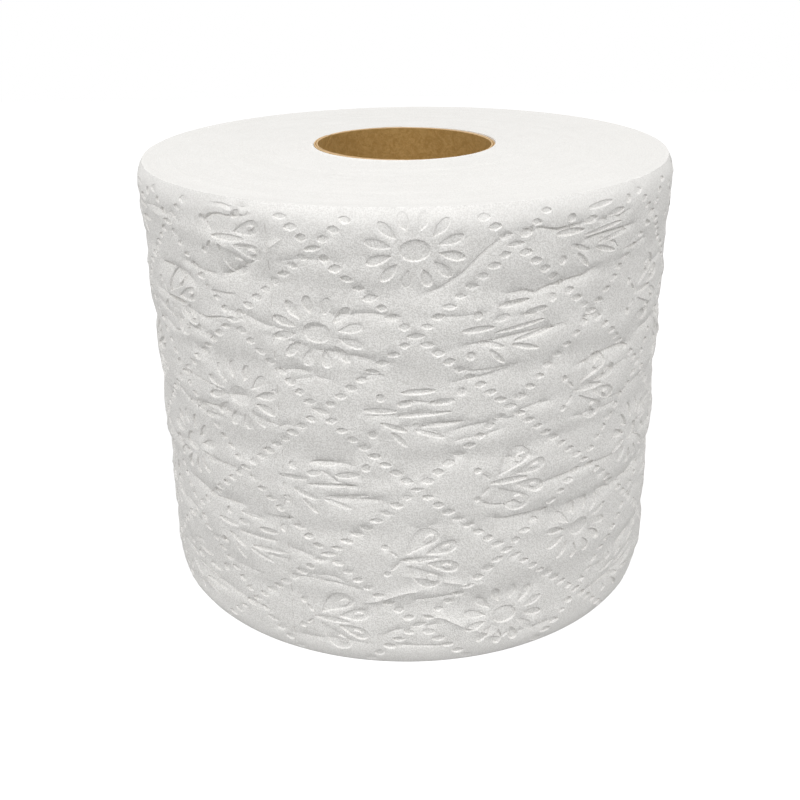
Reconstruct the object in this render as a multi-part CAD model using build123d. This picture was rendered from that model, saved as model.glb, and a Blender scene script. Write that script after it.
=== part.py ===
from build123d import *
import math
import os

# A toilet paper roll that stands on its end, in millimetres.
# The origin is the centre of the bottom end, and +Z runs up the core's axis.
# The front of the roll faces -Y, and the tail, the web's free end, lies at the back.

# The roll
roll_radius = 60.0
roll_width = 100.0
sheet_thickness = 0.4
rim_inset = 0.9
rim_height = 2.7
rim_facets = 3
tail_angle = 90.0

# Soft creases round the roll, where the web has been squeezed from its ends
crease_heights = (17.0, 33.5, 50.0, 67.0, 84.5)
crease_half_width = 2.8
crease_depth = 0.4

# Turns on the two ends, where one groove stands for two dozen turns of the web
turn_pitch = 9.6
turn_groove_width = 0.9
turn_groove_depth = 0.35
turn_margin = 3.5

# The core: a tube of two plies
core_outer_radius = 20.8
ply_thickness = 0.45
ply_count = 2
ply_line_width = 0.16
ply_line_depth = 0.25

QUARTER = 90.0


def spiral_quarter(index, first_radius, growth_per_turn):
    """Give one quarter of a four-centre spiral: its centre, its radius and its start angle.

    The four centres stand at the corners of a small square round the axis. Each quarter is one
    side of the square larger than the last, so the arcs run on into each other without a kink.
    """
    side = growth_per_turn / 4
    start = tail_angle + QUARTER * index
    corner = Vector(side / math.sqrt(2), 0, 0).rotate(Axis.Z, start + 1.5 * QUARTER)
    return corner, first_radius + side * index, start


def quarter_revolve(profile, centre, start):
    """Turn a profile drawn on the XZ plane a quarter of the way round its own centre."""
    turned = revolve(profile, axis=Axis.Z, revolution_arc=QUARTER)
    return Location(centre) * Rot(0, 0, start) * turned


def wound_profile(outer_radius):
    """Draw half of the roll's section, with rims that draw in softly and a dip at each crease."""
    lower_half = []
    for facet in range(rim_facets + 1):
        climbed = facet / rim_facets
        reach = outer_radius - rim_inset * (1 - climbed) ** 2
        lower_half.append((reach, rim_height * climbed))
    upper_half = [(radius, roll_width - height) for radius, height in reversed(lower_half)]
    dips = []
    margin = rim_height + crease_half_width
    for height in crease_heights:
        if margin < height < roll_width - margin:
            dips.append((outer_radius, height - crease_half_width))
            dips.append((outer_radius - crease_depth, height))
            dips.append((outer_radius, height + crease_half_width))
    inner_radius = core_outer_radius / 2
    inner_wall = [(inner_radius, roll_width), (inner_radius, 0)]
    with BuildSketch(Plane.XZ) as sketch:
        with BuildLine():
            Polyline(*lower_half, *dips, *upper_half, *inner_wall, close=True)
        make_face()
    return sketch.sketch


def wound_body():
    """Join four quarters into one outer turn whose free edge is the tail's step."""
    quarters = []
    for index in range(4):
        centre, radius, start = spiral_quarter(
            index, roll_radius - sheet_thickness / 2, sheet_thickness
        )
        quarters.append(quarter_revolve(wound_profile(radius), centre, start))
    return quarters[0].fuse(*quarters[1:])


def groove_profile(radius):
    """Draw the V of one turn's groove, a little proud of the end so that it cuts clean."""
    half_width = turn_groove_width / 2
    with BuildSketch(Plane.XZ) as sketch:
        with BuildLine():
            Polyline(
                (radius - half_width, 0),
                (radius, -turn_groove_depth),
                (radius + half_width, 0),
                (radius + half_width, turn_groove_depth),
                (radius - half_width, turn_groove_depth),
                close=True,
            )
        make_face()
    return sketch.sketch


def turn_grooves():
    """Wind the groove of the top end outward from the core to the soft rim."""
    first_radius = core_outer_radius + turn_margin
    last_radius = roll_radius - sheet_thickness - rim_inset - turn_groove_width
    quarter_count = max(0, math.floor(4 * (last_radius - first_radius) / turn_pitch))
    grooves = []
    for index in range(quarter_count):
        centre, radius, start = spiral_quarter(index, first_radius, turn_pitch)
        grooves.append(quarter_revolve(groove_profile(radius), centre, start))
    return grooves


def paper_roll():
    """Wind the paper round the core's own radius and mark its turns on both ends."""
    body = wound_body()
    body -= Cylinder(core_outer_radius, roll_width, align=(Align.CENTER, Align.CENTER, Align.MIN))
    top_grooves = turn_grooves()
    bottom_grooves = [groove.mirror(Plane.XY) for groove in top_grooves]
    raised = [Pos(0, 0, roll_width) * groove for groove in top_grooves]
    return body.cut(*raised, *bottom_grooves)


def core_profile():
    """Draw the wall of the tube, with a fine open line between its plies at each end."""
    inner_radius = core_outer_radius - ply_count * ply_thickness
    half_line = ply_line_width / 2
    low_points = [(inner_radius, 0)]
    for ply in range(1, ply_count):
        joint_radius = inner_radius + ply * ply_thickness
        low_points += [
            (joint_radius - half_line, 0),
            (joint_radius, ply_line_depth),
            (joint_radius + half_line, 0),
        ]
    low_points.append((core_outer_radius, 0))
    high_points = [(radius, roll_width - height) for radius, height in reversed(low_points)]
    with BuildSketch(Plane.XZ) as sketch:
        with BuildLine():
            Polyline(*low_points, *high_points, close=True)
        make_face()
    return sketch.sketch


def cardboard_core():
    """Turn the tube's wall round the axis."""
    return revolve(core_profile(), axis=Axis.Z)


os.makedirs("parts", exist_ok=True)
export_step(paper_roll(), "parts/paper_roll.step")
export_step(cardboard_core(), "parts/cardboard_core.step")
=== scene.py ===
import math

import bmesh
import bpy
import numpy as np
from mathutils import Matrix, Vector, kdtree, noise
from mathutils.geometry import delaunay_2d_cdt


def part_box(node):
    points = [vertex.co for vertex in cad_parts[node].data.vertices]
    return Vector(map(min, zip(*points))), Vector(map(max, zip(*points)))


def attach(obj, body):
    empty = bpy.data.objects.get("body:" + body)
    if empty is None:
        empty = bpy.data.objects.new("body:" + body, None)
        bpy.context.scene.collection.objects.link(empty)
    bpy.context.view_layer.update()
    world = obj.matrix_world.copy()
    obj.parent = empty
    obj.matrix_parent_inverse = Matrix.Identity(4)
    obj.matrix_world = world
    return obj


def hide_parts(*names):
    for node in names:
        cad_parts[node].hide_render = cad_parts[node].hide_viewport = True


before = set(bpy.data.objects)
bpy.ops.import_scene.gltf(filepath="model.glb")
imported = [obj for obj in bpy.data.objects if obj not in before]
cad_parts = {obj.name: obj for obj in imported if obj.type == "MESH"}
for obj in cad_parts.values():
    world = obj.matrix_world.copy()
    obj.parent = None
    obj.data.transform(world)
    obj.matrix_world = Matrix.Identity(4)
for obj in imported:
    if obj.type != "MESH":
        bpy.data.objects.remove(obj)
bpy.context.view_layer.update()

scene = bpy.context.scene
scene.view_settings.view_transform = "Standard"

# The camera stands a quarter of a metre in front of the roll and looks down on it. Its distance, rise
# and lens come from the outlines of the two ends in the photograph, which is 800 pixels wide.
MM = 0.001
FRAME_PIXELS = 800
SENSOR_WIDTH = 36.0
LENS_PIXELS = 1026.9
AXIS_PIXEL = (408.1, 400.7)
CAMERA_DISTANCE = 262.7 * MM
CAMERA_RISE = math.radians(24.34)
CAMERA_ROLL = math.radians(-0.78)
AIM_HEIGHT = 35.6 * MM

camera_data = bpy.data.cameras.new("photo_camera")
camera_data.sensor_width = SENSOR_WIDTH
camera_data.lens = LENS_PIXELS / FRAME_PIXELS * SENSOR_WIDTH
camera_data.shift_x = (FRAME_PIXELS / 2 - AXIS_PIXEL[0]) / FRAME_PIXELS
camera_data.shift_y = (AXIS_PIXEL[1] - FRAME_PIXELS / 2) / FRAME_PIXELS
camera_data.clip_start = 10 * MM
camera = bpy.data.objects.new("photo_camera", camera_data)
scene.collection.objects.link(camera)
camera.location = (
    0.0,
    -math.cos(CAMERA_RISE) * CAMERA_DISTANCE,
    math.sin(CAMERA_RISE) * CAMERA_DISTANCE + AIM_HEIGHT,
)
look_down = Matrix.Rotation(math.pi / 2 - CAMERA_RISE, 3, "X")
camera.rotation_euler = (look_down @ Matrix.Rotation(CAMERA_ROLL, 3, "Z")).to_euler()
scene.camera = camera

# The studio: two soft panels high in front, one on each side, and an even room all round.
# The floor is plain and pale. It keeps the roll's shadow, and shows white where nothing shades it.
ROOM_STRENGTH = 0.28
PANEL_DISTANCE = 1.8
PANEL_RISE = math.radians(50)
PANEL_SIZE = 1.1
PANEL_AIM = (0, 0, 50 * MM)
PANELS = (("left_panel", math.radians(-50), 17.7), ("right_panel", math.radians(50), 16.2))
FLOOR_SIZE = 1.6
FLOOR_TONE = 0.5
FLOOR_LIFT = 0.74


def node(tree, kind, **settings):
    """Add a node, set its plain properties, and return it."""
    made = tree.nodes.new(kind)
    for key, value in settings.items():
        setattr(made, key, value)
    return made


def feed(tree, socket, value):
    """Put a plain value on a socket, or link another node's output to it."""
    if isinstance(value, bpy.types.NodeSocket):
        tree.links.new(value, socket)
    elif value is not None:
        socket.default_value = value


def feed_all(tree, made, values):
    """Feed a node's inputs by their names, and return its first output."""
    for name, value in values.items():
        feed(tree, made.inputs[name], value)
    return made.outputs[0]


def number(tree, operation, *values):
    """Add a Math node on values or sockets and return its output."""
    made = node(tree, "ShaderNodeMath", operation=operation)
    for socket, value in zip(made.inputs, values):
        feed(tree, socket, value)
    return made.outputs[0]


def times(tree, one, other):
    """Multiply two values or sockets."""
    return number(tree, "MULTIPLY", one, other)


def vector_of(tree, x, y, z=0.0):
    """Add a Combine XYZ node on values or sockets and return its output."""
    return feed_all(tree, node(tree, "ShaderNodeCombineXYZ"), {"X": x, "Y": y, "Z": z})


def parts_of(tree, vector):
    """Split a vector into its X, Y and Z."""
    split = node(tree, "ShaderNodeSeparateXYZ")
    feed(tree, split.inputs[0], vector)
    return split.outputs


def seen_directly(tree):
    """Give 1 for rays from the camera, a reflection or a clear body, and 0 for rays that light."""
    rays = node(tree, "ShaderNodeLightPath")
    seen = number(tree, "MAXIMUM", rays.outputs["Is Camera Ray"], rays.outputs["Is Glossy Ray"])
    return number(tree, "MAXIMUM", seen, rays.outputs["Is Transmission Ray"])


def hang_panel(name, place, aim, width, watts):
    """Hang a square lamp at a place and turn it towards the point that it lights."""
    data = bpy.data.lights.new(name, "AREA")
    data.shape = "SQUARE"
    data.size = width
    data.energy = watts
    panel = bpy.data.objects.new(name, data)
    scene.collection.objects.link(panel)
    panel.location = place
    panel.rotation_euler = (Vector(aim) - Vector(place)).to_track_quat("-Z", "Y").to_euler()


panel_level = math.cos(PANEL_RISE) * PANEL_DISTANCE
panel_height = math.sin(PANEL_RISE) * PANEL_DISTANCE
for panel_name, aside, watts in PANELS:
    panel_place = (panel_level * math.sin(aside), -panel_level * math.cos(aside), panel_height)
    hang_panel(panel_name, panel_place, PANEL_AIM, PANEL_SIZE, watts)

world = bpy.data.worlds.new("white_room")
scene.world = world
world.use_nodes = True
room = world.node_tree
room_strength = number(room, "MULTIPLY_ADD", seen_directly(room), 1 - ROOM_STRENGTH, ROOM_STRENGTH)
feed_all(room, room.nodes["Background"], {"Color": (1, 1, 1, 1), "Strength": room_strength})

floor_mesh = bpy.data.meshes.new("studio_floor")
half = FLOOR_SIZE / 2
floor_corners = [(-half, -half, 0), (half, -half, 0), (half, half, 0), (-half, half, 0)]
floor_mesh.from_pydata(floor_corners, [], [(0, 1, 2, 3)])
floor = bpy.data.objects.new("studio_floor", floor_mesh)
scene.collection.objects.link(floor)
floor_finish = bpy.data.materials.new("pale_floor")
floor_finish.use_nodes = True
floor_tree = floor_finish.node_tree
feed_all(floor_tree, floor_tree.nodes["Principled BSDF"], {
    "Base Color": (FLOOR_TONE, FLOOR_TONE, FLOOR_TONE, 1),
    "Roughness": 0.9,
    "Specular IOR Level": 0.0,
    "Emission Color": (1, 1, 1, 1),
    "Emission Strength": times(floor_tree, seen_directly(floor_tree), FLOOR_LIFT),
})
floor_mesh.materials.append(floor_finish)

# The embossing plate: steel teeth that press a net of dotted diamonds into the web, with one figure in
# each diamond, and slits that part the sheets. It lies flat here, one face for each tooth, in
# millimetres: X runs round the roll from the tail's root, and Y up from the bottom end.
_, core_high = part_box("cardboard_core")
paper_low, paper_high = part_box("paper_roll")
ROLL_WIDTH = (paper_high[2] - paper_low[2]) / MM
ROLL_RADIUS = (paper_high[0] - paper_low[0] + paper_high[1] - paper_low[1]) / 4 / MM
CORE_RADIUS = core_high[0] / MM
WEB_LENGTH = 2 * math.pi * ROLL_RADIUS
FRONT_RUN = WEB_LENGTH / 2
DIAMONDS_ROUND = 10
DIAMOND_ROWS = 8
MARKS_PER_SIDE = 9
HALF_DIAMOND = (WEB_LENGTH / DIAMONDS_ROUND / 2, 16.4)
FIRST_CROSSING = (1.6, 10.4)
ROWS_BELOW = 1
MARK_SIZE = (2.8, 1.55)
CROSSING_SIZE = (3.6, 1.35)
LENGTH_SPREAD = (0.78, 1.08)
HEIGHT_SPREAD = (0.75, 1.1)
MARK_TURN = 0.2
FIGURE_TURN = 0.06
FIGURE_PERIOD = 6
DAISY_SLANT = 2
DIE_SLANTS = (("Butterfly", 4), ("Sprig", 0))
PETALS = 12
PETAL_REACH = (6.9, 5.5)
UPRIGHT_PETAL = (3.05, 2.95)
LEVEL_PETAL = (5.15, 2.35)
DAISY_EYE = (5.7, 4.2)
SHEET_RUNS = (FRONT_RUN - 140.5, FRONT_RUN - 26.5, FRONT_RUN + 87.5)
SLIT_SIZE = (0.34, 2.2)
SLIT_FORCE = 0.45
SLIT_PITCH = 3.6
PLATE_SEED = 7


def random_between(tree, low, high, seed, shift):
    """Give a steady random number for each point, another one for each shift of the seed."""
    made = node(tree, "FunctionNodeRandomValue", data_type="FLOAT")
    sockets = {socket.identifier: socket for socket in made.inputs}
    sockets["Min_001"].default_value = low
    sockets["Max_001"].default_value = high
    feed(tree, sockets["Seed"], number(tree, "ADD", seed, shift))
    return {socket.identifier: socket for socket in made.outputs}["Value_001"]


def lattice(tree, across, up, step_x, step_y):
    """Lay points on a lattice by their index, and give them with their column and row."""
    index = node(tree, "GeometryNodeInputIndex").outputs[0]
    column = number(tree, "FLOORED_MODULO", index, across)
    row = number(tree, "FLOOR", number(tree, "DIVIDE", index, across))
    place = vector_of(tree, times(tree, column, step_x), times(tree, row, step_y))
    spots = {"Count": times(tree, across, up), "Position": place}
    return feed_all(tree, node(tree, "GeometryNodePoints"), spots), column, row


def is_multiple(tree, value, period):
    """Give 1 where a whole number is a multiple of the period, and 0 elsewhere."""
    rest = number(tree, "FLOORED_MODULO", number(tree, "ADD", value, 0.25), period)
    return number(tree, "LESS_THAN", rest, 0.5)


def blends(tree, share, low_values, high_values):
    """Blend each pair of plain values by a share from 0 to 1."""
    pairs = zip(low_values, high_values)
    return [number(tree, "MULTIPLY_ADD", share, high - low, low) for low, high in pairs]


def set_teeth(tree, points, shape, selection=None, rotation=None, scale=None):
    """Put a shape on the chosen points, turned and scaled."""
    return feed_all(tree, node(tree, "GeometryNodeInstanceOnPoints"), {
        "Points": points,
        "Instance": shape,
        "Selection": selection,
        "Rotation": rotation,
        "Scale": scale,
    })


def tooth(tree, corners, left_point=0.0, right_point=0.0, taper=0.0):
    """Make a tooth's face one unit across: round, or drawn to a point or narrowed at either end."""
    circle = node(tree, "GeometryNodeMeshCircle", fill_type="NGON")
    disc = feed_all(tree, circle, {"Vertices": corners, "Radius": 0.5})
    x, y, _ = parts_of(tree, node(tree, "GeometryNodeInputPosition").outputs[0])
    point = number(tree, "MULTIPLY_ADD", x, right_point - left_point, (left_point + right_point) / 2)
    fullness = number(tree, "POWER", times(tree, number(tree, "ABSOLUTE", y), 2.0), point)
    narrowing = number(tree, "MULTIPLY_ADD", x, taper, 1.0 - taper / 2)
    slim = times(tree, times(tree, y, fullness), narrowing)
    shaped = {"Geometry": disc, "Position": vector_of(tree, x, slim)}
    return feed_all(tree, node(tree, "GeometryNodeSetPosition"), shaped)


def joined(tree, shapes):
    """Join several shapes into one."""
    made = node(tree, "GeometryNodeJoinGeometry")
    for shape in shapes:
        tree.links.new(shape, made.inputs[0])
    return made.outputs[0]


def placed(tree, shape, translation=(0, 0, 0), scale=(1, 1, 1)):
    """Move and scale a whole shape."""
    moved = {"Geometry": shape, "Translation": translation, "Scale": scale}
    return feed_all(tree, node(tree, "GeometryNodeTransform"), moved)


def daisy_teeth(tree):
    """Stand twelve petals, pointed at the inner end, round an oval eye wider than it is tall."""
    index = node(tree, "GeometryNodeInputIndex").outputs[0]
    turn = number(tree, "MULTIPLY_ADD", index, 2 * math.pi / PETALS, math.pi / PETALS)
    across = number(tree, "COSINE", turn)
    up = number(tree, "SINE", turn)
    place = vector_of(tree, times(tree, across, PETAL_REACH[0]), times(tree, up, PETAL_REACH[1]))
    points = feed_all(tree, node(tree, "GeometryNodePoints"), {"Count": PETALS, "Position": place})
    flatness = number(tree, "ABSOLUTE", across)
    length, width = blends(tree, flatness, UPRIGHT_PETAL, LEVEL_PETAL)
    petal = tooth(tree, 12, left_point=0.9, right_point=0.1, taper=0.45)
    rotation = vector_of(tree, 0.0, 0.0, turn)
    ring = set_teeth(tree, points, petal, None, rotation, vector_of(tree, length, width, 1.0))
    return joined(tree, [ring, placed(tree, tooth(tree, 14), scale=(*DAISY_EYE, 1.0))])


def wing_outline(root, tip, belly, lean, corners):
    """Draw a wing as a drop that swells from its root towards its tip and leans to one side."""
    outline = []
    along = Vector(tip) - Vector(root)
    across = Vector((-along.y, along.x)).normalized()
    for corner in range(corners):
        turn = 2 * math.pi * corner / corners
        share = 0.5 - 0.5 * math.cos(turn)
        swell = belly * math.sin(turn) * (0.3 + 0.7 * share)
        outline.append(Vector(root) + along * share + across * (swell + lean * share * (1 - share) * 4))
    return outline


def oval_outline(centre, size, corners, lean=0.0):
    """Draw an oval round a centre, turned by the lean."""
    outline = []
    for corner in range(corners):
        turn = 2 * math.pi * corner / corners
        x = size[0] / 2 * math.cos(turn)
        y = size[1] / 2 * math.sin(turn)
        rotated = (x * math.cos(lean) - y * math.sin(lean), x * math.sin(lean) + y * math.cos(lean))
        outline.append(Vector(centre) + Vector(rotated))
    return outline


def die_object(name, shapes):
    """Make a flat object with one face for each outline."""
    corners = []
    faces = []
    for shape in shapes:
        faces.append(list(range(len(corners), len(corners) + len(shape))))
        corners += [(point.x, point.y, 0) for point in shape]
    mesh = bpy.data.meshes.new(name)
    mesh.from_pydata(corners, [], faces)
    return bpy.data.objects.new(name, mesh)


def butterfly_shapes():
    """Draw a plain butterfly from above, its head to the left: body, wings, wing spots and feelers."""
    upper_half = [
        wing_outline((-2.2, 1.4), (4.6, 6.0), 3.0, 0.9, 24),
        wing_outline((1.8, 1.2), (8.3, 3.0), 2.0, -0.1, 18),
        oval_outline((2.6, 4.7), (2.6, 1.5), 10, 0.55),
        oval_outline((5.9, 2.3), (2.0, 1.0), 8, 0.25),
        oval_outline((-6.6, 3.2), (1.7, 1.4), 8),
        oval_outline((-4.9, 1.7), (2.2, 0.7), 8, -0.75),
    ]
    shapes = [oval_outline((0.2, 0), (8.4, 1.3), 14)]
    for shape in upper_half:
        shapes.append(shape)
        shapes.append([Vector((point.x, -point.y)) for point in reversed(shape)])
    return shapes


def sprig_shapes():
    """Draw a level sprig: a thin stem, narrow leaves above and below it, and round buds."""
    leaves = (
        ((1.6, 0.1), (10.8, 0.9), 0.07),
        ((-7.0, 0.9), (6.6, 1.3), 0.0),
        ((-2.2, 2.5), (3.2, 1.5), 0.15),
        ((4.9, 2.6), (5.2, 1.5), 0.08),
        ((0.4, 4.9), (6.8, 1.2), 0.05),
        ((4.6, -2.2), (9.2, 1.0), 0.1),
        ((2.6, -4.2), (6.2, 1.1), -0.3),
        ((-4.4, -2.6), (5.6, 1.2), -0.35),
        ((-3.4, -5.2), (4.4, 1.2), -0.8),
    )
    buds = ((-6.9, 3.6), (-8.6, -4.3), (8.8, 4.4))
    shapes = [oval_outline(centre, size, 12, lean) for centre, size, lean in leaves]
    return shapes + [oval_outline(centre, (2.0, 1.8), 10) for centre in buds]


plan = bpy.data.node_groups.new("embossing_plate", "GeometryNodeTree")
PLATE_INPUTS = (
    ("Diamonds Round", "NodeSocketInt", DIAMONDS_ROUND),
    ("Diamond Rows", "NodeSocketInt", DIAMOND_ROWS),
    ("Marks Per Side", "NodeSocketInt", MARKS_PER_SIDE),
    ("Half Width", "NodeSocketFloat", HALF_DIAMOND[0]),
    ("Half Height", "NodeSocketFloat", HALF_DIAMOND[1]),
    ("First Run", "NodeSocketFloat", FIRST_CROSSING[0]),
    ("First Height", "NodeSocketFloat", FIRST_CROSSING[1] - ROWS_BELOW * HALF_DIAMOND[1]),
    ("Slit Pitch", "NodeSocketFloat", SLIT_PITCH),
    ("Seed", "NodeSocketInt", PLATE_SEED),
    ("Butterfly", "NodeSocketObject", None),
    ("Sprig", "NodeSocketObject", None),
    ("Finish", "NodeSocketMaterial", None),
)
plan.interface.new_socket("Geometry", in_out="INPUT", socket_type="NodeSocketGeometry")
for socket_name, socket_kind, socket_value in PLATE_INPUTS:
    socket = plan.interface.new_socket(socket_name, in_out="INPUT", socket_type=socket_kind)
    if socket_value is not None:
        socket.default_value = socket_value
plan.interface.new_socket("Geometry", in_out="OUTPUT", socket_type="NodeSocketGeometry")
given = node(plan, "NodeGroupInput").outputs
halves_round = number(plan, "MULTIPLY_ADD", given["Diamonds Round"], 2, 1)
seed = given["Seed"]

# The net: a mark stands where its column less its row, or their sum, falls on a diamond's side
per_side = given["Marks Per Side"]
mark_points, mark_column, mark_row = lattice(
    plan,
    times(plan, halves_round, per_side),
    times(plan, given["Diamond Rows"], per_side),
    number(plan, "DIVIDE", given["Half Width"], per_side),
    number(plan, "DIVIDE", given["Half Height"], per_side),
)
mark_period = times(plan, per_side, 2)
below = times(plan, per_side, ROWS_BELOW)
raised_row = number(plan, "SUBTRACT", mark_row, below)
on_rising = is_multiple(plan, number(plan, "SUBTRACT", mark_column, raised_row), mark_period)
on_falling = is_multiple(plan, number(plan, "ADD", mark_column, raised_row), mark_period)
on_crossing = number(plan, "MINIMUM", on_rising, on_falling)
mark_length, mark_height = blends(plan, on_crossing, MARK_SIZE, CROSSING_SIZE)
mark_scale = vector_of(
    plan,
    times(plan, mark_length, random_between(plan, *LENGTH_SPREAD, seed, 1)),
    times(plan, mark_height, random_between(plan, *HEIGHT_SPREAD, seed, 2)),
    1.0,
)
mark_turn = random_between(plan, -MARK_TURN, MARK_TURN, seed, 3)
marks = set_teeth(
    plan,
    mark_points,
    tooth(plan, 8, left_point=0.55, right_point=0.55),
    selection=number(plan, "MAXIMUM", on_rising, on_falling),
    rotation=vector_of(plan, 0.0, 0.0, mark_turn),
    scale=mark_scale,
)

# The figures: daisies, sprigs and butterflies take turns from one slanting row of diamonds to the next
cell_points, cell_column, cell_row = lattice(
    plan, halves_round, given["Diamond Rows"], given["Half Width"], given["Half Height"]
)
slant = number(plan, "SUBTRACT", cell_column, cell_row)
figure_turn = random_between(plan, -FIGURE_TURN, FIGURE_TURN, seed, 4)
figure_rotation = vector_of(plan, 0.0, 0.0, figure_turn)
figures = [(DAISY_SLANT, daisy_teeth(plan))]
for die_name, die_slant in DIE_SLANTS:
    die = node(plan, "GeometryNodeObjectInfo")
    feed(plan, die.inputs["Object"], given[die_name])
    figures.append((die_slant, die.outputs["Geometry"]))
printed = [marks]
for figure_slant, figure in figures:
    chosen = is_multiple(plan, number(plan, "ADD", slant, figure_slant), FIGURE_PERIOD)
    printed.append(set_teeth(plan, cell_points, figure, chosen, figure_rotation))
first_crossing = vector_of(plan, given["First Run"], given["First Height"])
net = placed(plan, joined(plan, printed), translation=first_crossing)

# The slits that part one sheet from the next, in an upright line for each sheet's end
slit_lines = []
slit_count = number(plan, "DIVIDE", ROLL_WIDTH, given["Slit Pitch"])
for sheet_run in SHEET_RUNS:
    slit_points = lattice(plan, 1.0, slit_count, 0.0, given["Slit Pitch"])[0]
    slits = set_teeth(plan, slit_points, tooth(plan, 6), scale=(*SLIT_SIZE, 1.0))
    slit_lines.append(placed(plan, slits, translation=(sheet_run, SLIT_PITCH / 2, 0)))

whole = {"Geometry": joined(plan, slit_lines + [net])}
plate_real = feed_all(plan, node(plan, "GeometryNodeRealizeInstances"), whole)
finished = {"Geometry": plate_real, "Material": given["Finish"]}
plate_finish = feed_all(plan, node(plan, "GeometryNodeSetMaterial"), finished)
feed(plan, node(plan, "NodeGroupOutput").inputs[0], plate_finish)

tissue = bpy.data.materials.new("creped_tissue")
butterfly_die = die_object("butterfly_die", butterfly_shapes())
sprig_die = die_object("sprig_die", sprig_shapes())
plate = bpy.data.objects.new("embossing_plate", bpy.data.meshes.new("embossing_plate"))
scene.collection.objects.link(plate)
press = plate.modifiers.new("press", "NODES")
press.node_group = plan
plate_inputs = [item for item in plan.interface.items_tree if item.in_out == "INPUT"]
plate_sockets = {item.name: item.identifier for item in plate_inputs}
press[plate_sockets["Butterfly"]] = butterfly_die
press[plate_sockets["Sprig"]] = sprig_die
press[plate_sockets["Finish"]] = tissue
pressed = bpy.data.meshes.new_from_object(plate.evaluated_get(bpy.context.evaluated_depsgraph_get()))
teeth_corners = np.empty(len(pressed.vertices) * 3)
pressed.vertices.foreach_get("co", teeth_corners)
teeth_corners = teeth_corners.reshape(-1, 3)[:, :2]
outlines = [teeth_corners[list(face.vertices)] for face in pressed.polygons]
plate.modifiers.remove(press)
for worn_tool in (plate, butterfly_die, sprig_die):
    bpy.data.objects.remove(worn_tool)
bpy.data.meshes.remove(pressed)

# The web: one long strip of soft creped tissue, wound tightly and loose only at its tail.
# It is one closed shell: the outer turn with its embossing, folds and creases, the two ends where the
# turns show, and the wall round the core. A place on the outer turn is its run and its height.
SHEET = 0.4
COLUMNS = 180
SIDE_ROWS = 92
RIM_ROWS = 5
RIM_HEIGHT = 4.4
RIM_INSET = 0.95
RIM_CURVE = 2.4
TURN_ROWS = 38
TUCK_COLUMNS = 3
TAIL_ANGLE = math.radians(90)
TAIL_LIFT = 0.4
TAIL_REACH = 14
SETTLED_REACH = 12
TAIL_TOOTH = 0.5
TAIL_GAP_SHARE = 0.5
RIM_GAP_SHARE = 0.08
MEAN_LIFT = 0.3
CORE_RISE = 0.8
BORE_GAP = 0.05
PRESS_DEPTH = 0.33
PRESS_SPREAD = (0.6, 1.15)
SLACK_PRESS = 0.45
SHOULDER = 0.1
SHOULDER_SHARE = 0.2
WALL = 0.17
TAIL_MARGIN = 0.7
END_MARGIN = 0.3
LINE_CLEARANCE = 0.3
GRID_CLEARANCE = 0.62
LINE_STEP = 1.1
LINE_INSET = 0.5
LINE_MARGIN = 0.6
LINE_ASIDE = 0.36
SLOPE_STEP = 0.6
FOLD_HEIGHTS = (15.5, 33.5, 50.5, 67.0, 84.5)
FOLD_DEPTH = 0.55
FOLD_REACH = (1.7, 4.2)
SLACKS = ((0.85, 12, 40), (0.7, -20, -50))
FIRST_STEP = 0.4
CREASE_COUNT = 150
CREASE_SEED = 23
CREASE_LIP = 0.3
column_width = WEB_LENGTH / COLUMNS

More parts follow.
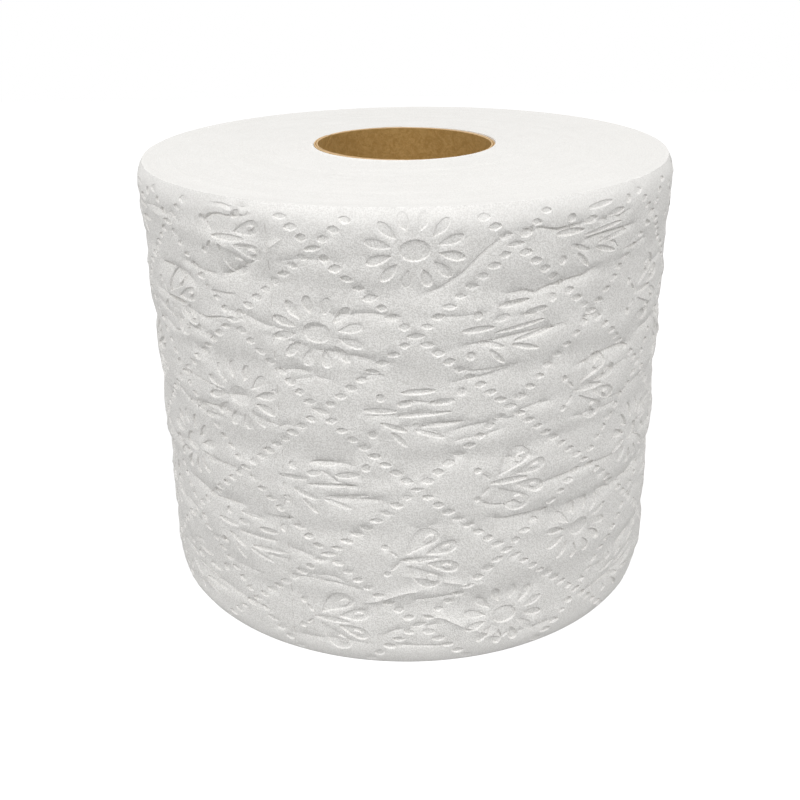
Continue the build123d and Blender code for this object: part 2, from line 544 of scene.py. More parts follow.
# Creases that show at the front: arc from the middle and depth below the top for each point, in
# millimetres, then how deep and how wide the crease is. A negative depth stands up as a ridge.
FRONT_CREASES = (
    (((-45, 6.2), (-42, 4.9), (-41, 3.9), (-38, 3.3), (-36, 3.5), (-32, 3.0), (-28, 1.9)), 0.5, 1.3),
    (((-41, 1.7), (-37, 1.4), (-34, 1.8), (-32, 1.5), (-29, 0.8)), 0.4, 0.8),
    (((-34, 9.0), (-32, 8.8), (-29, 8.6), (-26, 8.5)), 0.4, 1.2),
    (((-27, 8.8), (-26, 8.3), (-23, 6.1)), -0.3, 0.5),
    (((-39, 15.5), (-36, 14.5), (-33, 12.9), (-28, 10.4)), 0.5, 1.2),
    (((-51, 14.3), (-47, 15.0), (-44, 15.5), (-39, 15.5)), 0.35, 1.0),
    (((-68, 15.0), (-60, 17.1), (-56, 16.9), (-52, 17.1), (-49, 18.1), (-46, 19.5)), 0.5, 1.5),
    (((-66, 23.4), (-52, 24.4), (-47, 25.2), (-44, 25.3), (-39, 24.1), (-34, 24.2)), 0.5, 1.5),
    (((-68, 26.0), (-64, 26.9), (-58, 28.4), (-49, 28.7), (-44, 28.9)), 0.5, 1.5),
    (((-44, 19.1), (-42, 19.3), (-39, 19.1), (-34, 18.7)), 0.35, 0.8),
    (((-21, 23.6), (-18, 22.9), (-14, 22.9)), 0.35, 0.9),
    (((1, 16.4), (3, 16.0), (6, 15.0), (10, 12.4), (14, 8.6), (18, 5.8), (21, 4.6)), 0.42, 1.2),
    (((19, 5.4), (22, 5.0), (26, 5.2), (29, 5.9), (32, 5.8), (37, 5.4)), 0.6, 1.7),
    (((38, 5.4), (42, 5.8), (46, 6.0), (50, 4.8)), 0.4, 1.1),
    (((33, 10.8), (36, 8.9), (39, 8.5), (46, 8.5), (53, 8.4)), 0.5, 1.5),
    (((16, 16.4), (19, 17.1), (23, 16.9), (25, 17.7), (28, 16.8), (37, 16.1), (42, 14.2)), 0.5, 1.5),
    (((16, 18.5), (20, 19.2), (25, 19.3)), 0.35, 0.8),
    (((8, 26.9), (14, 26.1), (22, 25.3), (27, 25.0), (34, 25.1)), 0.5, 1.4),
    (((21, 21.3), (24, 21.8), (28, 22.1)), 0.35, 0.8),
    (((39, 9.1), (42, 9.9), (46, 11.4)), 0.3, 0.8),
    (((36, 24.9), (40, 25.0), (43, 25.0)), 0.35, 0.9),
    (((54, 29.0), (60, 29.1), (64, 28.3), (70, 26.6)), 0.5, 1.3),
    (((47, 13.2), (52, 13.1), (58, 12.4)), 0.4, 1.1),
    (((-4, 43.3), (1, 42.5), (5, 42.2), (14, 42.2)), 0.42, 1.1),
    (((0, 43.2), (4, 43.5), (7, 45.0)), 0.3, 0.7),
    (((-21, 51.7), (-15, 51.3), (-10, 51.9)), 0.42, 1.0),
    (((-20, 53.0), (-17, 53.9), (-14, 56.2), (-9, 56.7)), 0.38, 0.8),
    (((-18, 59.9), (-11, 59.4), (-4, 59.2)), 0.42, 1.0),
    (((18, 51.5), (22, 52.0), (27, 52.4)), 0.38, 1.0),
    (((12, 59.4), (16, 61.5), (20, 62.3), (24, 61.6)), 0.42, 1.0),
    (((15, 64.0), (19, 65.6), (27, 65.8), (31, 64.0)), 0.5, 1.4),
    (((-62, 57.4), (-48, 58.1), (-33, 57.6)), 0.45, 1.5),
    (((-64, 38.6), (-50, 39.8), (-37, 40.6)), 0.45, 1.5),
    (((-58, 46.2), (-49, 47.4), (-40, 46.6)), 0.4, 1.2),
    (((-60, 66.8), (-47, 67.6), (-36, 66.5)), 0.45, 1.5),
    (((34, 35.0), (45, 33.8), (56, 34.6)), 0.45, 1.4),
    (((42, 44.6), (54, 45.4), (66, 43.8)), 0.42, 1.4),
    (((26, 59.5), (38, 58.4), (52, 59.6)), 0.4, 1.4),
    (((-33, 76.7), (-29, 76.6), (-25, 76.3)), 0.4, 1.0),
    (((-32, 66.6), (-28, 66.4), (-24, 66.2)), 0.35, 1.0),
    (((-1, 83.5), (5, 83.0), (12, 81.9)), 0.35, 1.0),
    (((-8, 93.3), (-3, 90.8), (2, 90.2), (8, 89.2)), 0.35, 1.0),
    (((38, 91.8), (54, 91.0), (74, 91.4)), 0.45, 2.0),
    (((-60, 91.0), (-46, 90.2), (-30, 92.0)), 0.4, 1.8),
    (((-12, 85.0), (-7, 83.7), (-4, 82.5), (-1, 81.4), (4, 80.8)), -0.32, 0.6),
    (((-3, 77.0), (4, 78.1), (9, 79.5), (17, 81.2)), -0.32, 0.7),
    (((0, 86.0), (7, 88.2), (12, 91.3), (16, 93.3), (20, 95.4), (24, 94.7)), -0.42, 0.7),
)

rim_rows = [RIM_HEIGHT * row / RIM_ROWS for row in range(RIM_ROWS)]
side_height = ROLL_WIDTH - 2 * RIM_HEIGHT
side_rows = [RIM_HEIGHT + side_height * row / SIDE_ROWS for row in range(SIDE_ROWS + 1)]
row_heights = rim_rows + side_rows + [ROLL_WIDTH - height for height in reversed(rim_rows)]
column_runs = [column_width * (column - TUCK_COLUMNS) for column in range(COLUMNS + TUCK_COLUMNS + 1)]
rng = np.random.default_rng(CREASE_SEED)


def smooth_step(low, high, value):
    """Rise smoothly from 0 at the low value to 1 at the high one."""
    share = np.clip((np.asarray(value, float) - low) / (high - low), 0, 1)
    return share * share * (3 - 2 * share)


def noise_at(points, scale, seed):
    """Give smooth noise from -1 to 1 at each point, after the points are divided by the scale."""
    scaled = points / np.asarray(scale, float) + seed * 17.3
    return np.array([noise.noise(Vector(point)) for point in scaled])


def scattered_creases():
    """Scatter short level creases over the whole outer turn."""
    creases = []
    for _ in range(CREASE_COUNT):
        middle = rng.uniform(8, WEB_LENGTH - 8)
        height = rng.uniform(3.5, ROLL_WIDTH - 3.5)
        reach = rng.uniform(2.5, 11)
        slope = rng.normal(0, 0.07)
        bow = rng.normal(0, 0.7)
        kink = rng.normal(0, 0.3)
        shares = np.array([-1, -0.4, 0.2, 1])
        bends = bow * (1 - shares ** 2) + kink * np.array([0, 1, -1, 0])
        point_runs = np.clip(middle + reach * shares, 3, WEB_LENGTH - 3)
        point_heights = np.clip(height + slope * reach * shares + bends, 2, ROLL_WIDTH - 2)
        points = list(zip(point_runs, point_heights))
        creases.append((points, rng.uniform(0.2, 0.45), rng.uniform(0.7, 1.7)))
    return creases


creases = [
    ([(FRONT_RUN + arc, ROLL_WIDTH - drop) for arc, drop in points], depth, width)
    for points, depth, width in FRONT_CREASES
] + scattered_creases()


def crease_line(points, run):
    """Give a crease's height and its slope at each run."""
    point_runs, point_heights = zip(*points)
    line = np.interp(run, point_runs, point_heights)
    before = np.interp(run - SLOPE_STEP, point_runs, point_heights)
    after = np.interp(run + SLOPE_STEP, point_runs, point_heights)
    return line, (after - before) / (2 * SLOPE_STEP)


def crease_relief(run, height):
    """Give the dip of the creases: a steep wall above each line, and a slow rise below it."""
    total = np.zeros(len(run))
    for points, depth, width in creases:
        first, last = points[0][0], points[-1][0]
        near = np.where((run > first) & (run < last))[0]
        line, slope = crease_line(points, run[near])
        away = (height[near] - line) / np.sqrt(1 + slope ** 2)
        close = np.abs(away) < 6 * width
        near, away = near[close], away[close]
        fade = 0.25 * (last - first)
        strength = smooth_step(first, first + fade, run[near])
        strength *= smooth_step(last, last - fade, run[near])
        distance = np.abs(away)
        slow_side = 0.5 * np.exp(-distance / CREASE_LIP) + 0.5 * np.exp(-distance / width)
        steep_side = np.exp(-distance / CREASE_LIP) if depth > 0 else slow_side
        total[near] -= depth * strength * np.where(away > 0, steep_side, slow_side)
    return total


def fold_relief(run, height):
    """Give the dip of the soft level folds that run all the way round."""
    total = np.zeros(len(run))
    for index, fold_height in enumerate(FOLD_HEIGHTS):
        along = np.column_stack([run, np.full(len(run), 31.0 * index), np.zeros(len(run))])
        line = fold_height + 1.5 * noise_at(along, 34, 1) + 0.5 * noise_at(along, 9, 2)
        strength = 0.65 + 0.35 * smooth_step(-0.35, 0.35, noise_at(along, 30, 3))
        away = height - line
        reach = np.where(away > 0, *FOLD_REACH)
        total -= FOLD_DEPTH * strength * np.exp(-np.abs(away) / reach)
    return total


def slack_at(run):
    """Give how slack the web lies: tight at the front, and looser towards both flanks."""
    arc = np.asarray(run) - FRONT_RUN
    return sum(amount * smooth_step(first, last, arc) for amount, first, last in SLACKS)


def relief(run, height):
    """Give how far the web stands off its plain turn: folds, creases, wrinkles and waviness."""
    angle = TAIL_ANGLE + run / ROLL_RADIUS
    round_place = np.column_stack([np.cos(angle) * ROLL_RADIUS, np.sin(angle) * ROLL_RADIUS, height])
    flat_place = np.column_stack([run, height, np.zeros(len(run))])
    wave = 0.25 * noise_at(round_place, (40, 40, 30), 4)
    puff = 0.22 * noise_at(flat_place, (24, 7, 1), 5)
    wrinkles = 0.22 * noise_at(flat_place, (11, 2.8, 1), 6) + 0.11 * noise_at(flat_place, (5, 1.8, 1), 7)
    wrinkles += 0.5 * (0.2 - np.abs(noise_at(flat_place, (30, 5.5, 1), 9)))
    loose = 0.45 + 0.55 * smooth_step(-0.3, 0.3, noise_at(flat_place, (40, 26, 1), 8)) + slack_at(run)
    settled = smooth_step(0, SETTLED_REACH, run) * smooth_step(WEB_LENGTH, WEB_LENGTH - SETTLED_REACH, run)
    drawn_in = (1 + slack_at(run)) * (crease_relief(run, height) + fold_relief(run, height))
    return wave + MEAN_LIFT + settled * (puff + wrinkles * loose + drawn_in)


def from_ends(height):
    """Give the distance to the nearer end of the roll."""
    return np.minimum(height, ROLL_WIDTH - height)


def tail_lift(run, height):
    """Give how far the last stretch of the web stands off the roll: it lies close at both rims."""
    raised = smooth_step(WEB_LENGTH - TAIL_REACH, WEB_LENGTH + 2, run)
    return TAIL_LIFT * raised * smooth_step(0, 8, from_ends(height))


def freedom(climbed):
    """Give the share of its lift that the web keeps on its way up the soft rim, from 0 to 1."""
    return smooth_step(-0.3, 0.7, climbed)


def on_outer_turn(run, height, lift):
    """Wrap places of the flat web round the roll; near both ends the turn draws in softly."""
    jags = TAIL_TOOTH * (np.abs(np.mod(height, SLIT_PITCH) / SLIT_PITCH - 0.5) * 2 - 0.5)
    torn = run + jags * smooth_step(WEB_LENGTH - 1.5 * column_width, WEB_LENGTH, run)
    angle = TAIL_ANGLE + torn / ROLL_RADIUS
    radius = ROLL_RADIUS - SHEET / 2 + SHEET * run / WEB_LENGTH
    climbed = np.clip(from_ends(height) / RIM_HEIGHT, 0, 1)
    across = radius + lift * freedom(climbed) - RIM_INSET * (1 - climbed) ** RIM_CURVE
    return np.column_stack([across * np.cos(angle), across * np.sin(angle), height])


def grown(outline, distance):
    """Move each corner of a counter-clockwise outline outwards along its own bisector."""
    bisector = np.zeros_like(outline)
    for edge in (outline - np.roll(outline, 1, axis=0), np.roll(outline, -1, axis=0) - outline):
        length = np.maximum(np.linalg.norm(edge, axis=1, keepdims=True), 1e-9)
        bisector += np.column_stack([edge[:, 1], -edge[:, 0]]) / length
    bisector /= np.maximum(np.linalg.norm(bisector, axis=1, keepdims=True), 1e-9)
    return outline + bisector * distance


def ring_area(outline):
    """Give the signed area of an outline."""
    x, y = outline[:, 0], outline[:, 1]
    return 0.5 * float(np.sum(x * np.roll(y, -1) - np.roll(x, -1) * y))


def holds(outline, points):
    """Say which points lie inside an outline."""
    inside = np.zeros(len(points), bool)
    for first, last in zip(outline, np.roll(outline, -1, axis=0)):
        crosses = (first[1] > points[:, 1]) != (last[1] > points[:, 1])
        slope = (last[0] - first[0]) / (last[1] - first[1] + 1e-12)
        inside ^= crosses & (points[:, 0] < slope * (points[:, 1] - first[1]) + first[0])
    return inside


def distance_from(points):
    """Give a function that measures how far a flat place lies from the nearest of these points."""
    tree = kdtree.KDTree(len(points))
    for index, point in enumerate(points):
        tree.insert((point[0], point[1], 0), index)
    tree.balance()
    return lambda place: tree.find((*place, 0))[2]


# The flat web: its borders, then three loops for each tooth, lines along the creases, and a grid
flat = [(run, 0.0) for run in column_runs] + [(run, ROLL_WIDTH) for run in column_runs]
flat += [(column_runs[0], height) for height in row_heights[1:-1]]
flat += [(column_runs[-1], height) for height in row_heights[1:-1]]
pressed_share = [0.0] * len(flat)
loops = []
teeth = []
for outline in outlines:
    low, high = outline.min(axis=0), outline.max(axis=0)
    on_web = low[0] > TAIL_MARGIN and high[0] < WEB_LENGTH - TAIL_MARGIN
    if on_web and low[1] > END_MARGIN and high[1] < ROLL_WIDTH - END_MARGIN:
        teeth.append(outline if ring_area(outline) > 0 else outline[::-1])
boxes = np.array([[*outline.min(axis=0), *outline.max(axis=0)] for outline in teeth])
for outline, box in zip(teeth, boxes):
    around = (boxes[:, :2] < box[:2]).all(axis=1) & (boxes[:, 2:] > box[2:]).all(axis=1)
    middle = outline.mean(axis=0)[None, :]
    nested = any(holds(teeth[other], middle)[0] for other in np.where(around)[0])
    is_slit = box[2] - box[0] < 1.2 * SLIT_SIZE[0]
    force = SLIT_FORCE if is_slit else rng.uniform(*PRESS_SPREAD)
    narrow = min(box[2] - box[0], box[3] - box[1])
    shoulder = (min(SHOULDER, 0.4 * narrow), 0.0)
    wall_foot = (-min(WALL, 0.27 * narrow), 1.0)
    for offset, share in (shoulder, (0.0, SHOULDER_SHARE), wall_foot):
        first = len(flat)
        flat += [tuple(corner) for corner in grown(outline, offset)]
        pressed_share += [1.0 - share if nested else share * force] * len(outline)
        loops.append(list(range(first, first + len(outline))))

from_drawn = distance_from(flat)
grid = []
for points, depth, width in creases:
    first, last = points[0][0], points[-1][0]
    run = first + LINE_INSET
    while run < last - LINE_INSET:
        line, slope = crease_line(points, run)
        stretch = math.hypot(1, slope)
        for away in (LINE_ASIDE, 0.0, -LINE_ASIDE, -0.9 * width):
            place = (run - away * slope / stretch, line + away / stretch)
            if from_ends(place[1]) > LINE_MARGIN and from_drawn(place) > LINE_CLEARANCE:
                grid.append(place)
        run += LINE_STEP / stretch
from_drawn = distance_from(flat + grid)
for row, height in enumerate(row_heights[1:-1]):
    shift = 0.5 * column_width * (row % 2)
    for run in column_runs[1:-1]:
        place = (run + shift, height)
        if place[0] < column_runs[-1] - END_MARGIN and from_drawn(place) > GRID_CLEARANCE:
            grid.append(place)
grid_points = np.array(grid)
grid_share = np.zeros(len(grid_points), bool)
for outline, box in zip(teeth, boxes):
    within = np.where((grid_points > box[:2]).all(axis=1) & (grid_points < box[2:]).all(axis=1))[0]
    if len(within):
        grid_share[within] ^= holds(outline, grid_points[within])
flat += grid
pressed_share += [float(share) for share in grid_share]
drawn_points, _, drawn_faces, sources_of, *_ = delaunay_2d_cdt(
    [Vector(point) for point in flat], [], loops, 0, 1e-6, True
)
shares = np.array([
    np.mean([pressed_share[source] for source in sources]) if sources else SHOULDER_SHARE
    for sources in sources_of
])
new_place = {source: index for index, sources in enumerate(sources_of) for source in sources}

# The outer turn: the flat web wound round the roll, and the rings and columns along its borders
runs, heights = np.array([point[:] for point in drawn_points]).T
pressed_in = PRESS_DEPTH * shares * (1 + SLACK_PRESS * slack_at(runs))
lifts = relief(runs, heights) + tail_lift(runs, heights) - pressed_in
places = [tuple(place) for place in on_outer_turn(runs, heights, lifts)]
faces = [list(face) for face in drawn_faces]
border = len(column_runs)
inner_rows = len(row_heights) - 2
low_ring = [new_place[column] for column in range(border)]
high_ring = [new_place[border + column] for column in range(border)]
tuck_rows = [new_place[2 * border + row] for row in range(inner_rows)]
tail_rows = [new_place[2 * border + inner_rows + row] for row in range(inner_rows)]
tuck_column = [low_ring[0], *tuck_rows, high_ring[0]]
tail_column = [low_ring[-1], *tail_rows, high_ring[-1]]

# The underside of the loose tail, from its edge back to where it lies on the turn below
under_columns = []
for step in range(TUCK_COLUMNS):
    run = np.full(len(row_heights), WEB_LENGTH - step * column_width)
    height = np.array(row_heights)
    over = on_outer_turn(run, height, relief(run, height) + tail_lift(run, height))
    below = on_outer_turn(run - WEB_LENGTH, height, relief(run - WEB_LENGTH, height))
    share = RIM_GAP_SHARE + TAIL_GAP_SHARE * smooth_step(0, 5, from_ends(height))[:, None]
    first = len(places)
    places += [tuple(place) for place in below + share * (over - below)]
    under_columns.append(list(range(first, first + len(row_heights))))
under_columns.append(tuck_column)
for left, right in zip([tail_column] + under_columns, under_columns):
    for row in range(len(row_heights) - 1):
        faces.append([left[row], right[row], right[row + 1], left[row + 1]])


def wind_end(ring, base_height, outward):
    """Wind one end of the roll inwards, row by row, from the outer turn's border to the core."""
    arms = [[ring[TUCK_COLUMNS + COLUMNS - column] for column in range(COLUMNS + 1)]]
    bore = CORE_RADIUS + BORE_GAP
    rim_radius = ROLL_RADIUS - SHEET / 2 - RIM_INSET + MEAN_LIFT * float(freedom(0))
    for turn in range(1, TURN_ROWS + 1):
        arm = []
        for column in range(COLUMNS):
            if turn == 1 and column <= TUCK_COLUMNS:
                arm.append(ring[TUCK_COLUMNS - column])
                continue
            wound = turn + column / COLUMNS
            share = min(1.0, (wound - 1 + FIRST_STEP) / (TURN_ROWS - 1 + FIRST_STEP))
            radius = rim_radius + (bore - rim_radius) * share
            angle = TAIL_ANGLE - 2 * math.pi * column / COLUMNS
            level_place = (radius * math.cos(angle), radius * math.sin(angle))
            uneven = noise.noise(Vector((wound * 2.3, 0.5, outward * 9.1)))
            grain = noise.noise(Vector((wound * 61.0, 3.5, outward * 5.3)))
            slow = noise.noise(Vector((*level_place, 40 * outward)) / 26)
            edge = min(1.0, (wound - 1) * 0.6) * min(1.0, (TURN_ROWS - wound + 0.6) * 0.8)
            rise = edge * (0.14 * uneven + 0.06 * grain + 0.1 * slow - 0.15)
            height = base_height + outward * rise + CORE_RISE * share ** 1.5
            places.append((*level_place, height))
            arm.append(len(places) - 1)
        arm.append(None)
        arms.append(arm)
    for outer, inner in zip(arms, arms[1:]):
        outer[COLUMNS] = inner[0]
    arms[TURN_ROWS][COLUMNS] = arms[TURN_ROWS][0]
    for outer, inner in zip(arms, arms[1:]):
        for column in range(COLUMNS):
            if outer is arms[0] and column < TUCK_COLUMNS:
                edge_row = -1 if outward > 0 else 0
                under = [under_columns[step][edge_row] for step in (column, column + 1)]
                faces.append([outer[column], outer[column + 1], under[1], under[0]])
                continue
            corners = [outer[column], outer[column + 1], inner[column + 1], inner[column]]
            faces.append(list(dict.fromkeys(corners)))
    return arms[TURN_ROWS][:COLUMNS]


high_bore = wind_end(high_ring, ROLL_WIDTH, 1)
low_bore = wind_end(low_ring, 0.0, -1)
for column in range(COLUMNS):
    beside = (column + 1) % COLUMNS
    faces.append([high_bore[column], high_bore[beside], low_bore[beside], low_bore[column]])


def closed_piece(name, places, faces, finish, sharp_angle):
    """Make a closed mesh from places in millimetres, with its faces turned outwards."""
    mesh = bpy.data.meshes.new(name)
    mesh.from_pydata([tuple(value * MM for value in place) for place in places], [], faces)
    shape = bmesh.new()
    shape.from_mesh(mesh)
    bmesh.ops.dissolve_degenerate(shape, dist=0.0005 * MM, edges=shape.edges)
    bmesh.ops.delete(shape, geom=[vert for vert in shape.verts if not vert.link_faces], context="VERTS")
    bmesh.ops.recalc_face_normals(shape, faces=shape.faces)
    shape.to_mesh(mesh)
    shape.free()
    mesh.shade_smooth()
    mesh.set_sharp_from_angle(angle=sharp_angle)
    mesh.materials.append(finish)
    piece = bpy.data.objects.new(name, mesh)
    scene.collection.objects.link(piece)
    return piece


web = closed_piece("wound_web", places, faces, tissue, math.radians(30))
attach(web, "root")
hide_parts("paper_roll")

# The tissue's finish: white wood fibre, matted and creped into a fine soft grain, dull all over.
# On the ends the cut edges of the turns show as fine rings. The fibre group also serves the core.
fibre = bpy.data.node_groups.new("paper_fibre", "ShaderNodeTree")
fibre.interface.new_socket("Vector", in_out="INPUT", socket_type="NodeSocketVector")
for socket_name in ("Grain Size", "Mottle Size", "Swirl"):
    fibre.interface.new_socket(socket_name, in_out="INPUT", socket_type="NodeSocketFloat")
for socket_name in ("Grain", "Mottle"):
    fibre.interface.new_socket(socket_name, in_out="OUTPUT", socket_type="NodeSocketFloat")
fibre_in = node(fibre, "NodeGroupInput").outputs
fibre_out = node(fibre, "NodeGroupOutput").inputs
for layer, detail, roughness, distortion in (
    ("Grain", 1.0, 0.5, 0.6),
    ("Mottle", 4.0, 0.6, fibre_in["Swirl"]),
):
    feed(fibre, fibre_out[layer], feed_all(fibre, node(fibre, "ShaderNodeTexNoise"), {
        "Vector": fibre_in["Vector"],
        "Scale": number(fibre, "DIVIDE", 1.0, fibre_in[layer + " Size"]),
        "Detail": detail,
        "Roughness": roughness,
        "Distortion": distortion,
    }))


def fibre_in_material(tree, vector, grain_size, mottle_size, swirl):
    """Place the fibre group in a material and give its grain and its mottle."""
    made = node(tree, "ShaderNodeGroup", node_tree=fibre)
    sizes = {"Grain Size": grain_size, "Mottle Size": mottle_size}
    feed_all(tree, made, {"Vector": vector, **sizes, "Swirl": swirl})
    return made.outputs["Grain"], made.outputs["Mottle"]


def blend_colour(tree, share, low_colour, high_colour):
    """Mix two colours by a share from 0 to 1."""
    made = node(tree, "ShaderNodeMix", data_type="RGBA")
    colours = [socket for socket in made.inputs if socket.type == "RGBA"]
    feed(tree, made.inputs["Factor"], share)
    feed(tree, colours[0], low_colour)
    feed(tree, colours[1], high_colour)
    return [socket for socket in made.outputs if socket.type == "RGBA"][0]


def clamped(tree, value, low, high):
    """Stretch a value from low and high to 0 and 1, smoothly, and hold it there beyond."""
    made = node(tree, "ShaderNodeMapRange", interpolation_type="SMOOTHSTEP")
    return feed_all(tree, made, {"Value": value, "From Min": low, "From Max": high})


def bumped(tree, height, depth):
    """Give the normal of a surface that a height from 0 to 1 bumps by a small depth."""
    bump = {"Strength": 1.0, "Distance": depth, "Height": height}
    return feed_all(tree, node(tree, "ShaderNodeBump"), bump)


TISSUE_LIGHT = (0.94, 0.928, 0.905, 1)
TISSUE_SHADE = (0.705, 0.692, 0.665, 1)
CREPE_SIZE = 0.26 * MM
CREPE_DEPTH = 0.11 * MM
# How far the grain fades near both ends. This also paints the band below each rim lighter: a painted
# highlight where the web rounds over the rim.
RIM_SOFTNESS_AND_PAINTED_HIGHLIGHT = 0.45
END_SOFTNESS = 0.2
CLOUD_SIZE = 9 * MM
RING_SIZE = 0.4 * MM
RING_DRAWN_OUT = 1.6 * MM
PORE_SHADE = 0.85
CLOUD_SHADE = 0.07
# Painted shade: the ends of the roll get a darker tone, which sets how bright the top reads under the
# lamps.
END_PAINTED_SHADE = 0.14
tissue.use_nodes = True
skin = tissue.node_tree
on_roll = node(skin, "ShaderNodeTexCoord").outputs["Object"]
x, y, z = parts_of(skin, on_roll)
radius = number(skin, "SQRT", number(skin, "ADD", times(skin, x, x), times(skin, y, y)))
inside_rim = clamped(skin, radius, (ROLL_RADIUS - 0.9) * MM, (ROLL_RADIUS - 1.6) * MM)
from_middle = number(skin, "ABSOLUTE", number(skin, "SUBTRACT", z, ROLL_WIDTH / 2 * MM))
near_end = clamped(skin, from_middle, (ROLL_WIDTH / 2 - 1.2) * MM, (ROLL_WIDTH / 2 - 0.7) * MM)
on_end = times(skin, inside_rim, near_end)
crepe, cloud = fibre_in_material(skin, on_roll, CREPE_SIZE, CLOUD_SIZE, 0.0)
round_axis = times(skin, number(skin, "ARCTAN2", y, x), RING_DRAWN_OUT)
rings = fibre_in_material(skin, vector_of(skin, radius, round_axis), RING_SIZE, CLOUD_SIZE, 0.0)[0]
# Painted highlight: within about 7 mm of each end the grain's dark share fades, so the web is painted
# lighter where it rounds over onto the rim. The bump grain softens there too.
rim_softening_and_painted_highlight = clamped(skin, from_middle, (ROLL_WIDTH / 2 - 7) * MM, (ROLL_WIDTH / 2 - 1) * MM)
below_rim = number(skin, "MULTIPLY_ADD", rim_softening_and_painted_highlight, -RIM_SOFTNESS_AND_PAINTED_HIGHLIGHT, 1.0)
on_side = number(skin, "MULTIPLY_ADD", on_end, -END_SOFTNESS, below_rim)
pores = times(skin, clamped(skin, crepe, 0.6, 0.4), on_side)
clouds = times(skin, clamped(skin, cloud, 0.3, 0.7), CLOUD_SHADE)
# Painted shade on the ends, added to the random cloudy tone of the fibre.
clouds_and_end_painted_shade = number(skin, "MULTIPLY_ADD", on_end, END_PAINTED_SHADE, clouds)
shade_share = number(skin, "MULTIPLY_ADD", pores, PORE_SHADE, clouds_and_end_painted_shade)
relief_height = number(skin, "ADD", times(skin, crepe, on_side), times(skin, rings, on_end))
feed_all(skin, skin.nodes["Principled BSDF"], {
    "Base Color": blend_colour(skin, shade_share, TISSUE_LIGHT, TISSUE_SHADE),
    "Roughness": 0.95,
    "Specular IOR Level": 0.15,
    "Normal": bumped(skin, relief_height, CREPE_DEPTH),
})

# The core: a tube of two plies of grey-brown board, wound on a slant and glued, and cut through at
# both ends, where the line between the plies shows. The seam of the inner ply climbs round the bore.
PLY = 0.45
PLIES = 2
CORE_COLUMNS = 96
CORE_ROWS = 90
SEAM_TOP_ANGLE = math.radians(150)
SEAM_CLIMB = -86.0
SEAM_DEPTH = 0.05
SEAM_WIDTH = 0.3
CUT_SLANT = 0.3
inner_radius = CORE_RADIUS - PLY * PLIES
seam_offsets = (-0.9, -0.25, 0.0, 0.25, 2.2)
turns = [offset / inner_radius for offset in seam_offsets]
turns += [2 * math.pi * column / CORE_COLUMNS for column in range(1, CORE_COLUMNS)]
turns = sorted(turn for turn in turns if turn < 2 * math.pi - 0.06)


def angle_of(turn, height):
    """Give the angle round the axis of a turn from the seam, which climbs with the height."""
    return SEAM_TOP_ANGLE + turn - (ROLL_WIDTH - height) / SEAM_CLIMB * 2 * math.pi


def core_place(turn, radius, height):
    """Place a point of the tube by its turn from the slanting seam."""
    angle = angle_of(turn, height)
    out_of_square = CUT_SLANT * radius * math.cos(angle) / CORE_RADIUS
    return (radius * math.cos(angle), radius * math.sin(angle), height + CORE_RISE - out_of_square)


def bore_radius(turn, height):
    """Give the bore's radius: slightly uneven board, with a step down at the seam."""
    arc = turn * inner_radius
    away = min(arc, 2 * math.pi * inner_radius - arc)
    dip = SEAM_DEPTH if 0.0 <= arc < SEAM_WIDTH else 0.0
    swell = 0.05 * math.exp(-away / 4)
    angle = angle_of(turn, height)
    uneven = noise.noise(Vector((math.cos(angle) * 2.1, math.sin(angle) * 2.1, height / 16)))
    return inner_radius + dip - swell + 0.04 * uneven


def cut_depth(turn, seed):
    """Give how far the rough cut lies inside the tube's end, with a nick where the seam meets it."""
    around = noise.noise(Vector((math.cos(turn) * 9, math.sin(turn) * 9, seed)))
    nick = 0.35 * math.exp(-((turn * inner_radius) / 0.5) ** 2)
    return 0.05 + 0.05 * around + nick


# The tube's wall, ring by ring: up the bore, over the top cut, down the outside, and over the lower
# cut. Each ring lists a radius and a height for every turn from the seam.
CUT_RINGS = (
    (inner_radius + 0.1, 0.0),
    (inner_radius + PLY - 0.1, 0.0),
    (inner_radius + PLY, 0.3),
    (inner_radius + PLY + 0.1, 0.02),
    (CORE_RADIUS - 0.08, 0.02),
)
wall = []
for row in range(CORE_ROWS + 1):
    height = ROLL_WIDTH * (row / CORE_ROWS) * 0.998 + 0.1
    wall.append([(bore_radius(turn, height), height) for turn in turns])
for seed, (radius, groove) in enumerate(CUT_RINGS, start=1):
    wall.append([(radius, ROLL_WIDTH - cut_depth(turn, seed) - groove) for turn in turns])
for row in range(CORE_ROWS + 1):
    height = ROLL_WIDTH * (1 - row / CORE_ROWS) * 0.996 + 0.2
    wall.append([(CORE_RADIUS, height)] * len(turns))
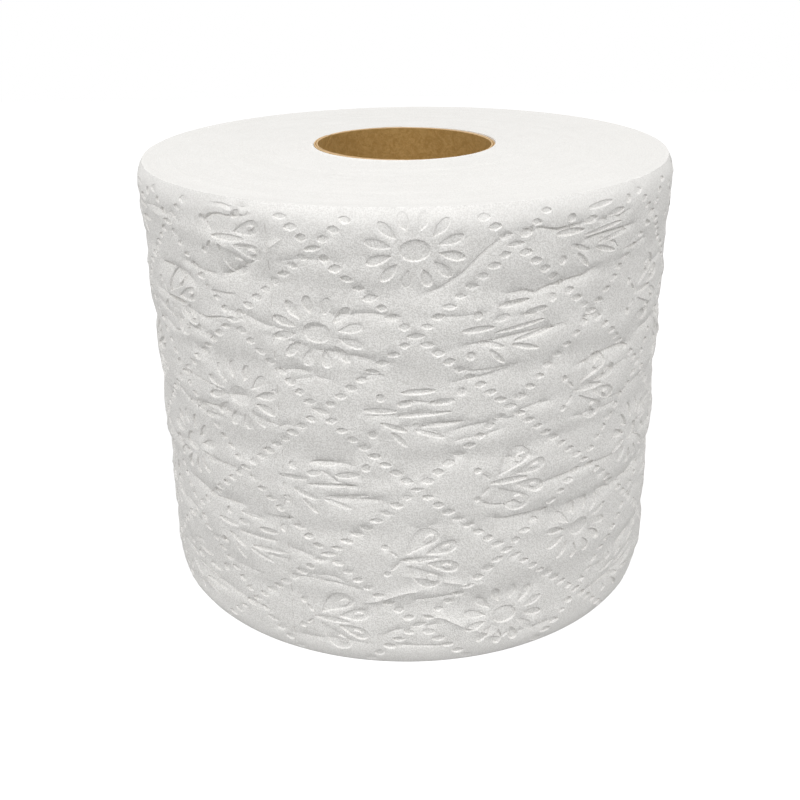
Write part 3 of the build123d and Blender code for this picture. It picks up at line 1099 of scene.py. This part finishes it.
for seed, (radius, groove) in enumerate(reversed(CUT_RINGS), start=len(CUT_RINGS) + 1):
    wall.append([(radius, cut_depth(turn, seed) + groove) for turn in turns])

core_places = [core_place(turn, *place) for ring in wall for turn, place in zip(turns, ring)]
core_rings = np.arange(len(core_places)).reshape(len(wall), len(turns)).tolist()
core_faces = []
for ring, following in zip(core_rings, core_rings[1:] + core_rings[:1]):
    for column in range(len(turns)):
        beside = (column + 1) % len(turns)
        core_faces.append([ring[column], ring[beside], following[beside], following[column]])

board = bpy.data.materials.new("core_board")
core = closed_piece("wound_core", core_places, core_faces, board, math.radians(40))
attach(core, "root")
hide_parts("cardboard_core")

BOARD_DARK = (0.40, 0.235, 0.07, 1)
BOARD_LIGHT = (0.52, 0.325, 0.115, 1)
BOARD_CUT = (0.66, 0.46, 0.25, 1)
BOARD_SWIRL = 2.2
BOARD_GRAIN = 0.3
BOARD_DEPTH = 0.08 * MM
board.use_nodes = True
bark = board.node_tree
on_tube = node(bark, "ShaderNodeTexCoord").outputs["Object"]
board_grain, board_mottle = fibre_in_material(bark, on_tube, 0.5 * MM, 2.6 * MM, BOARD_SWIRL)
grain_part = times(bark, board_grain, BOARD_GRAIN)
mixed = number(bark, "MULTIPLY_ADD", board_mottle, 1 - BOARD_GRAIN, grain_part)
board_colour = blend_colour(bark, clamped(bark, mixed, 0.33, 0.67), BOARD_DARK, BOARD_LIGHT)
tube_x, _, tube_z = parts_of(bark, on_tube)
levelled = number(bark, "MULTIPLY_ADD", tube_x, CUT_SLANT / CORE_RADIUS, tube_z)
core_middle = (ROLL_WIDTH / 2 + CORE_RISE) * MM
from_core_middle = number(bark, "ABSOLUTE", number(bark, "SUBTRACT", levelled, core_middle))
cut = clamped(bark, from_core_middle, (ROLL_WIDTH / 2 - 0.22) * MM, (ROLL_WIDTH / 2 - 0.12) * MM)
feed_all(bark, bark.nodes["Principled BSDF"], {
    "Base Color": blend_colour(bark, cut, board_colour, BOARD_CUT),
    "Roughness": 0.85,
    "Specular IOR Level": 0.25,
    "Normal": bumped(bark, board_grain, BOARD_DEPTH),
})
